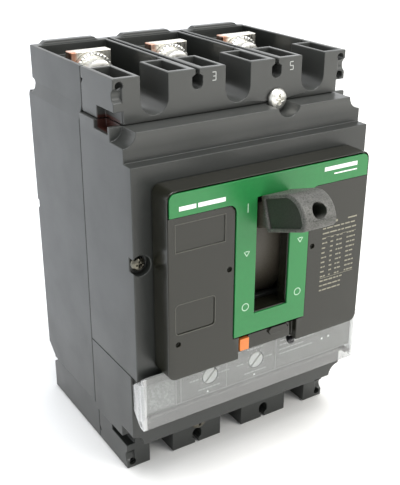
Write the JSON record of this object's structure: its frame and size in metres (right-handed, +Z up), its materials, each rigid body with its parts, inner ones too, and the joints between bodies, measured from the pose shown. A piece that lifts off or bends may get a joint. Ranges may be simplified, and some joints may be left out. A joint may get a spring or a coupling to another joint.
{
  "type": "molded case breaker",
  "caption": "Molded case circuit breaker with a toggle handle, open terminal pockets at both ends and a trip unit under a clear hinged cover.",
  "frame": {"origin": "centre of the flat rear mounting face", "axes": "+X to the right seen from the front, +Y out of the back, so the front faces -Y, +Z up along the height with the line terminals on top"},
  "size_m": [0.105, 0.1257, 0.1623],
  "materials": {
    "case_grey": "moulded",
    "cover_grey": "moulded",
    "facing_green": "satin",
    "trip_grey": "printed",
    "clear_plastic": "clear",
    "handle_grey": "textured",
    "dial_white": "moulded",
    "button_orange": "moulded",
    "tinned_copper": "tin plated copper",
    "plated_steel": "zinc plated",
    "bare_copper": "bare copper",
    "spring_steel": "oiled",
    "shaft_brown": "moulded"
  },
  "bodies": {
    "case": {"rear_case": "case_grey", "front_case": "case_grey", "load_end_cover": "case_grey", "trip_unit_body": "case_grey", "front_cover": "cover_grey", "label_frame": "facing_green", "trip_fascia": "trip_grey", "mechanism_frame": "plated_steel", "terminal_screw_line_1": "plated_steel", "terminal_screw_line_2": "plated_steel", "terminal_screw_line_3": "plated_steel", "terminal_screw_load_1": "plated_steel", "terminal_screw_load_2": "plated_steel", "terminal_screw_load_3": "plated_steel", "case_screw_line": "plated_steel", "case_screw_load": "plated_steel", "panel_screw_left": "plated_steel", "panel_screw_right": "plated_steel", "line_terminal_1": "tinned_copper", "line_terminal_2": "tinned_copper", "line_terminal_3": "tinned_copper", "load_terminal_1": "tinned_copper", "load_terminal_2": "tinned_copper", "load_terminal_3": "tinned_copper", "fixed_contact_1": "bare_copper", "fixed_contact_2": "bare_copper", "fixed_contact_3": "bare_copper", "bimetal_1": "bare_copper", "bimetal_2": "bare_copper", "bimetal_3": "bare_copper", "magnet_core_1": "spring_steel", "magnet_core_2": "spring_steel", "magnet_core_3": "spring_steel", "arc_chute_line_1": "spring_steel", "arc_chute_line_2": "spring_steel", "arc_chute_line_3": "spring_steel", "arc_chute_load_1": "spring_steel", "arc_chute_load_2": "spring_steel", "arc_chute_load_3": "spring_steel", "button_spring": "spring_steel", "main_spring_left": "spring_steel", "main_spring_right": "spring_steel"},
    "contact_shaft": {"contact_shaft": "shaft_brown", "moving_contact_1": "bare_copper", "moving_contact_2": "bare_copper", "moving_contact_3": "bare_copper"},
    "handle": {"handle": "handle_grey", "handle_yoke": "spring_steel"},
    "trip_window": {"trip_window": "clear_plastic", "sealing_screw": "plated_steel"},
    "setting_dial_1": {"setting_dial_1": "dial_white"},
    "setting_dial_2": {"setting_dial_2": "dial_white"},
    "trip_button": {"trip_button": "button_orange"},
    "trip_bar": {"trip_bar": "shaft_brown"}
  },
  "joints": [
    {"name": "handle_toggle", "type": "hinge", "parent": "case", "child": "handle", "pos_m": [0, -0.054, 0.01485], "axis": [1, 0, 0], "range_deg": [0, 39.2], "deforming": ["main_spring_left", "main_spring_right"]},
    {"name": "contact_shaft_turn", "type": "hinge", "parent": "case", "child": "contact_shaft", "pos_m": [0, -0.026, 0], "axis": [1, 0, 0], "range_deg": [0, 39.2]},
    {"name": "trip_window_hinge", "type": "hinge", "parent": "case", "child": "trip_window", "pos_m": [0, -0.0904, -0.0479], "axis": [1, 0, 0], "range_deg": [0, 100]},
    {"name": "setting_dial_1_turn", "type": "hinge", "parent": "case", "child": "setting_dial_1", "pos_m": [-0.0218, -0.0912, -0.0362], "axis": [0, 1, 0], "range_deg": [-120, 120]},
    {"name": "setting_dial_2_turn", "type": "hinge", "parent": "case", "child": "setting_dial_2", "pos_m": [0.0002, -0.0912, -0.0362], "axis": [0, 1, 0], "range_deg": [-120, 120]},
    {"name": "trip_button_push", "type": "slide", "parent": "case", "child": "trip_button", "axis": [0, 1, 0], "range_m": [0, 0.003], "stiffness_N_per_m": 150, "deforming": ["button_spring"]},
    {"name": "trip_bar_turn", "type": "hinge", "parent": "case", "child": "trip_bar", "pos_m": [0, -0.076, -0.0375], "axis": [1, 0, 0], "range_deg": [-11, 0]}
  ],
  "couplings": [
    {"joint": "contact_shaft_turn", "follows": "handle_toggle", "ratio": 1},
    {"joint": "trip_bar_turn", "follows": "trip_button_push", "rad_per_m": -63}
  ]
}
